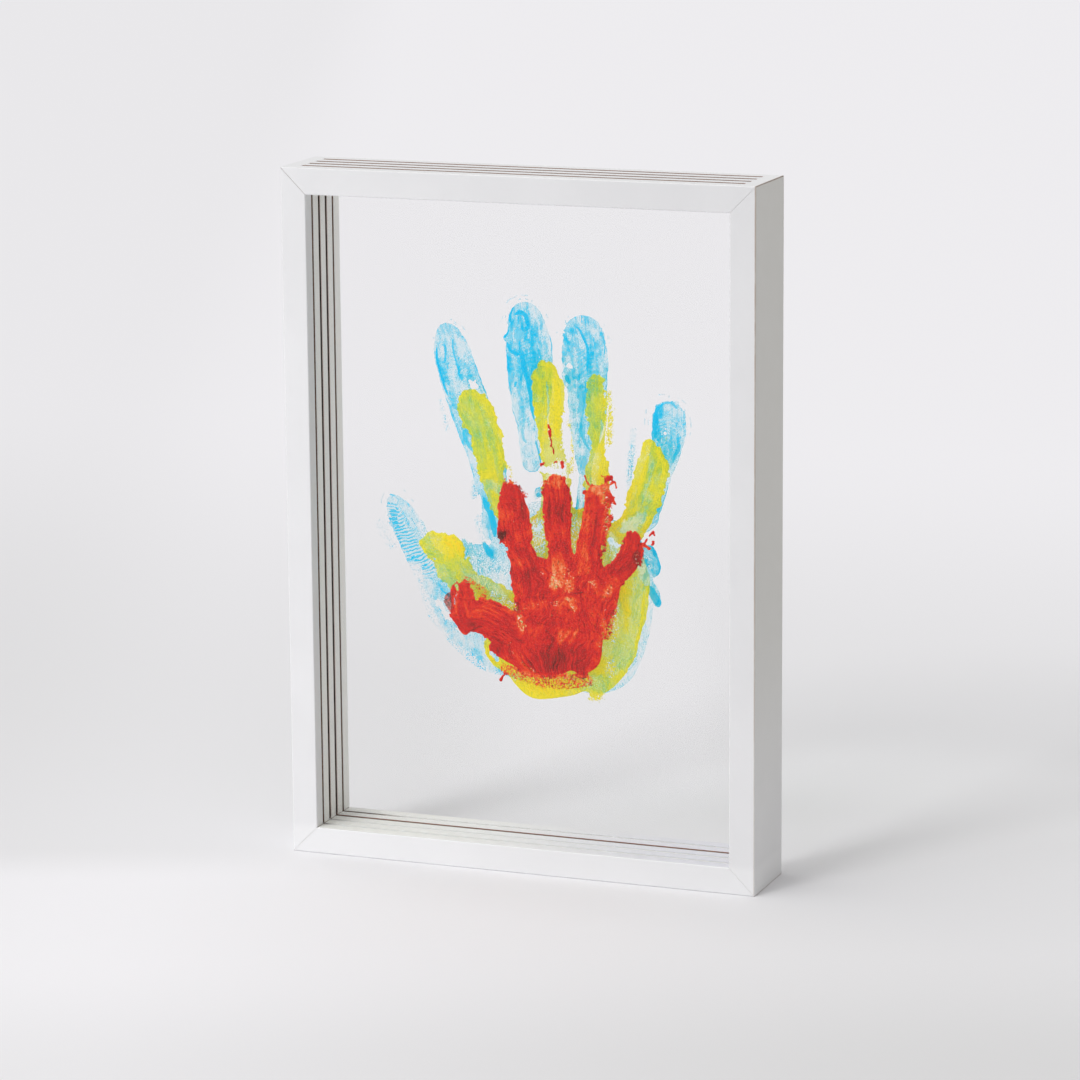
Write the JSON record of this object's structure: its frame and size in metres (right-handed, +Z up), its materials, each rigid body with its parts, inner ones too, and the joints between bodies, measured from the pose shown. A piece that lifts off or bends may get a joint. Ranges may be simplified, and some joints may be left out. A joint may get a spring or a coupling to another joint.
{
  "type": "layered handprint display frame",
  "caption": "Free-standing white frame with a slotted top rail holding clear sheets one behind another, three of them carrying painted handprints.",
  "frame": {"origin": "middle of the frame's flat base, on the surface that it stands on", "axes": "+X to the right seen from the front, +Y from the front to the back, +Z up"},
  "size_m": [0.24, 0.042, 0.34],
  "materials": {
    "fibreboard": "matte",
    "white_foil": "satin",
    "steel": "satin",
    "clear_acrylic": "gloss",
    "red_paint": "satin",
    "yellow_paint": "satin",
    "blue_paint": "satin"
  },
  "bodies": {
    "frame": {"top_rail_core": "fibreboard", "bottom_rail_core": "fibreboard", "left_stile_core": "fibreboard", "right_stile_core": "fibreboard", "top_rail_wrap": "white_foil", "bottom_rail_wrap": "white_foil", "left_stile_wrap": "white_foil", "right_stile_wrap": "white_foil", "top_left_wedges": "steel", "top_right_wedges": "steel", "bottom_left_wedges": "steel", "bottom_right_wedges": "steel"},
    "front_sheet": {"front_sheet": "clear_acrylic"},
    "second_sheet": {"second_sheet": "clear_acrylic", "child_handprint": "red_paint"},
    "third_sheet": {"third_sheet": "clear_acrylic", "mother_handprint": "yellow_paint"},
    "back_sheet": {"back_sheet": "clear_acrylic", "father_handprint": "blue_paint"}
  },
  "joints": [
    {"name": "front_sheet_lift", "type": "slide", "parent": "frame", "child": "front_sheet", "axis": [0, 0, 1], "range_m": [0, 0.335]},
    {"name": "second_sheet_lift", "type": "slide", "parent": "frame", "child": "second_sheet", "axis": [0, 0, 1], "range_m": [0, 0.335]},
    {"name": "third_sheet_lift", "type": "slide", "parent": "frame", "child": "third_sheet", "axis": [0, 0, 1], "range_m": [0, 0.335]},
    {"name": "back_sheet_lift", "type": "slide", "parent": "frame", "child": "back_sheet", "axis": [0, 0, 1], "range_m": [0, 0.335]}
  ]
}
